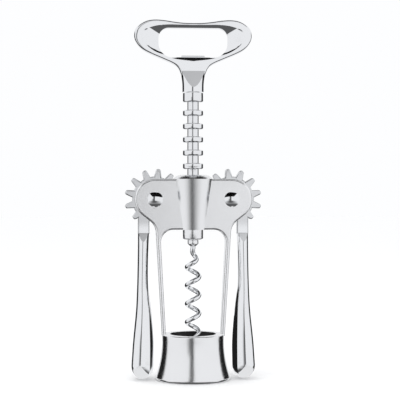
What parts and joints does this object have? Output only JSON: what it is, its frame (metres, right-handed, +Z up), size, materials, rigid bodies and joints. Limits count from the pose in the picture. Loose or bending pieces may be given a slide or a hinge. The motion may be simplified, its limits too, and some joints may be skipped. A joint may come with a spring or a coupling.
{
  "type": "wing corkscrew",
  "caption": "Metal wing corkscrew: a cap-lifter handle turns the worm, and two geared levers swing down to draw the cork through the bell.",
  "frame": {"origin": "middle of the bell's resting ring, on the spindle's axis", "axes": "+Z up along the spindle, X across the two levers, -Y towards the side that the picture shows"},
  "size_m": [0.0718, 0.0396, 0.1903],
  "materials": {
    "casting": "satin with a light chrome sheen",
    "bright_casting": "polished",
    "bright_steel": "polished",
    "satin_steel": "light satin"
  },
  "bodies": {
    "frame": {"frame": "casting", "pivot_post_left": "bright_steel", "pivot_post_right": "bright_steel", "pivot_cap_left": "bright_steel", "pivot_cap_right": "bright_steel"},
    "lever_left": {"lever_left": "bright_casting"},
    "lever_right": {"lever_right": "bright_casting"},
    "bush": {"guide_bush": "satin_steel"},
    "spindle": {"spindle": "bright_steel", "crown_handle": "bright_casting", "crown_cross_pin": "bright_steel", "worm": "bright_steel", "worm_cross_pin": "bright_steel", "worm_ferrule": "bright_steel"}
  },
  "joints": [
    {"name": "lever_left_swing", "type": "hinge", "parent": "frame", "child": "lever_left", "pos_m": [-0.0202, 0, 0.0954], "axis": [0, 1, 0], "range_deg": [0, 150]},
    {"name": "lever_right_swing", "type": "hinge", "parent": "frame", "child": "lever_right", "pos_m": [0.0202, 0, 0.0954], "axis": [0, -1, 0], "range_deg": [0, 150]},
    {"name": "rack_slide", "type": "slide", "parent": "frame", "child": "bush", "axis": [0, 0, 1], "range_m": [-0.038, 0]},
    {"name": "crown_turn", "type": "hinge", "parent": "bush", "child": "spindle", "pos_m": [0, 0, 0.078], "axis": [0, 0, 1], "continuous": true}
  ],
  "couplings": [
    {"joint": "lever_right_swing", "follows": "lever_left_swing", "ratio": 1},
    {"joint": "rack_slide", "follows": "lever_left_swing", "m_per_rad": -0.014483}
  ]
}
